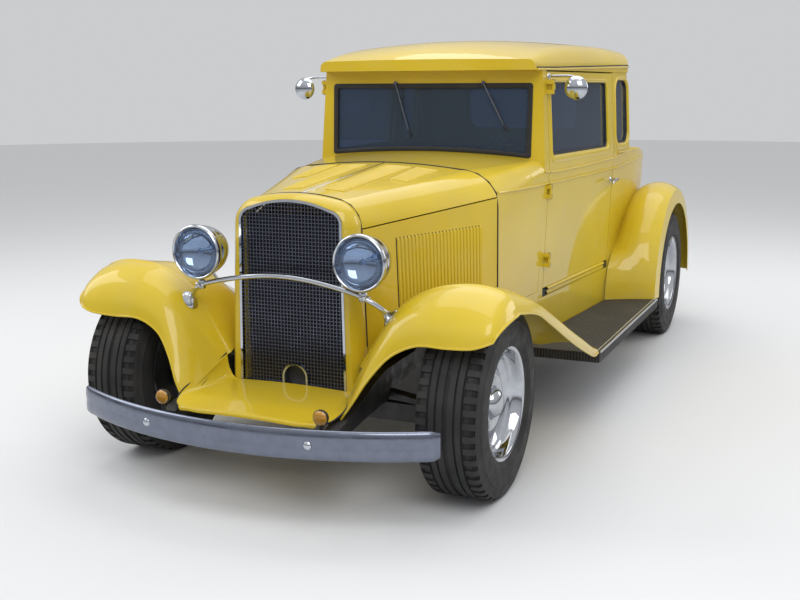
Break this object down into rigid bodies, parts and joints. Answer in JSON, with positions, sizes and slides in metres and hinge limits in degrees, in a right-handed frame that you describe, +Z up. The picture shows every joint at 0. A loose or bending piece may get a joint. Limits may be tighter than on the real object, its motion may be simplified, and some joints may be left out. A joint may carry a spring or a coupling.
{
  "type": "hot rod",
  "caption": "Full-fendered street rod coupe: steered free-rolling wheels, opening doors, lifting hood tops and trunk lid, mesh grille, bowed lamp bar and flat bumpers.",
  "frame": {"origin": "on the ground below the middle of the overall length and width", "axes": "+X to the car's left side, -Y the way it drives, +Z up"},
  "size_m": [1.7, 4.31, 1.6003],
  "materials": {
    "yellow_paint": "deep gloss",
    "wheel_metal": "polished",
    "black_paint": "satin",
    "bright_metal": "polished",
    "dull_metal": "brushed",
    "cast_metal": "as cast",
    "clear_glass": "clear",
    "amber_plastic": "gloss",
    "red_plastic": "gloss",
    "seat_cloth": "woven",
    "black_plastic": "matt",
    "tyre_rubber": "matt",
    "mat_rubber": "ribbed"
  },
  "bodies": {
    "chassis": {"axles": "black_paint", "springs": "black_paint", "frame": "black_paint", "engine": "cast_metal", "radiator": "black_paint", "grille_shell": "yellow_paint", "grille_rim": "bright_metal", "grille_mesh": "bright_metal", "hood_sides": "yellow_paint", "hood_rod": "bright_metal", "fixed_glass": "clear_glass", "cowl": "yellow_paint", "body_rear": "yellow_paint", "roof": "yellow_paint", "floor": "black_paint", "front_fenders": "yellow_paint", "rear_fenders": "yellow_paint", "running_boards": "mat_rubber", "splash_aprons": "yellow_paint", "front_apron": "yellow_paint", "bumpers": "dull_metal", "lamp_bar": "bright_metal", "headlamps": "bright_metal", "lenses": "clear_glass", "turn_lamps": "amber_plastic", "tail_lamps": "red_plastic", "seat": "seat_cloth", "dash": "black_plastic", "steering_wheel": "black_plastic", "exhaust": "dull_metal"},
    "wheel_front_left_body": {"tyre_front_left": "tyre_rubber", "wheel_front_left": "wheel_metal"},
    "wheel_front_right_body": {"tyre_front_right": "tyre_rubber", "wheel_front_right": "wheel_metal"},
    "wheel_rear_left_body": {"tyre_rear_left": "tyre_rubber", "wheel_rear_left": "wheel_metal"},
    "wheel_rear_right_body": {"tyre_rear_right": "tyre_rubber", "wheel_rear_right": "wheel_metal"},
    "knuckle_left_body": {"knuckle_left": "cast_metal"},
    "knuckle_right_body": {"knuckle_right": "cast_metal"},
    "tie_rod_body": {"tie_rod": "cast_metal"},
    "door_left_body": {"door_left": "yellow_paint", "door_glass_left": "clear_glass", "door_trim_left": "bright_metal"},
    "door_right_body": {"door_right": "yellow_paint", "door_glass_right": "clear_glass", "door_trim_right": "bright_metal"},
    "hood_left_body": {"hood_top_left": "yellow_paint"},
    "hood_right_body": {"hood_top_right": "yellow_paint"},
    "trunk_body": {"trunk_lid": "yellow_paint"}
  },
  "joints": [
    {"name": "steer_left", "type": "hinge", "parent": "chassis", "child": "knuckle_left_body", "pos_m": [0.556, -1.545, 0.328], "axis": [0, 0, 1], "range_deg": [-25, 25]},
    {"name": "steer_right", "type": "hinge", "parent": "chassis", "child": "knuckle_right_body", "pos_m": [-0.556, -1.545, 0.328], "axis": [0, 0, 1], "range_deg": [-25, 25]},
    {"name": "tie_rod_turn", "type": "hinge", "parent": "knuckle_left_body", "child": "tie_rod_body", "pos_m": [0.526, -1.421, 0.24], "axis": [0, 0, 1], "range_deg": [-25, 25]},
    {"name": "front_left_spin", "type": "hinge", "parent": "knuckle_left_body", "child": "wheel_front_left_body", "pos_m": [0.653, -1.545, 0.328], "axis": [1, 0, 0], "continuous": true},
    {"name": "front_right_spin", "type": "hinge", "parent": "knuckle_right_body", "child": "wheel_front_right_body", "pos_m": [-0.653, -1.545, 0.328], "axis": [1, 0, 0], "continuous": true},
    {"name": "rear_left_spin", "type": "hinge", "parent": "chassis", "child": "wheel_rear_left_body", "pos_m": [0.694, 1.224, 0.343], "axis": [1, 0, 0], "continuous": true},
    {"name": "rear_right_spin", "type": "hinge", "parent": "chassis", "child": "wheel_rear_right_body", "pos_m": [-0.694, 1.224, 0.343], "axis": [1, 0, 0], "continuous": true},
    {"name": "door_left_swing", "type": "hinge", "parent": "chassis", "child": "door_left_body", "pos_m": [0.549, -0.359, 0.9], "axis": [0, 0, -1], "range_deg": [0, 65]},
    {"name": "door_right_swing", "type": "hinge", "parent": "chassis", "child": "door_right_body", "pos_m": [-0.549, -0.359, 0.9], "axis": [0, 0, 1], "range_deg": [0, 65]},
    {"name": "hood_left_lift", "type": "hinge", "parent": "chassis", "child": "hood_left_body", "pos_m": [0, -1.595, 1.015], "axis": [0, -0.9962, -0.0876], "range_deg": [0, 50]},
    {"name": "hood_right_lift", "type": "hinge", "parent": "chassis", "child": "hood_right_body", "pos_m": [0, -1.595, 1.015], "axis": [0, 0.9962, 0.0876], "range_deg": [0, 50]},
    {"name": "trunk_lift", "type": "hinge", "parent": "chassis", "child": "trunk_body", "pos_m": [0, 1.1075, 1.053], "axis": [1, 0, 0], "range_deg": [0, 60]}
  ],
  "couplings": [
    {"joint": "steer_right", "follows": "steer_left", "ratio": 1},
    {"joint": "tie_rod_turn", "follows": "steer_left", "ratio": -1}
  ]
}
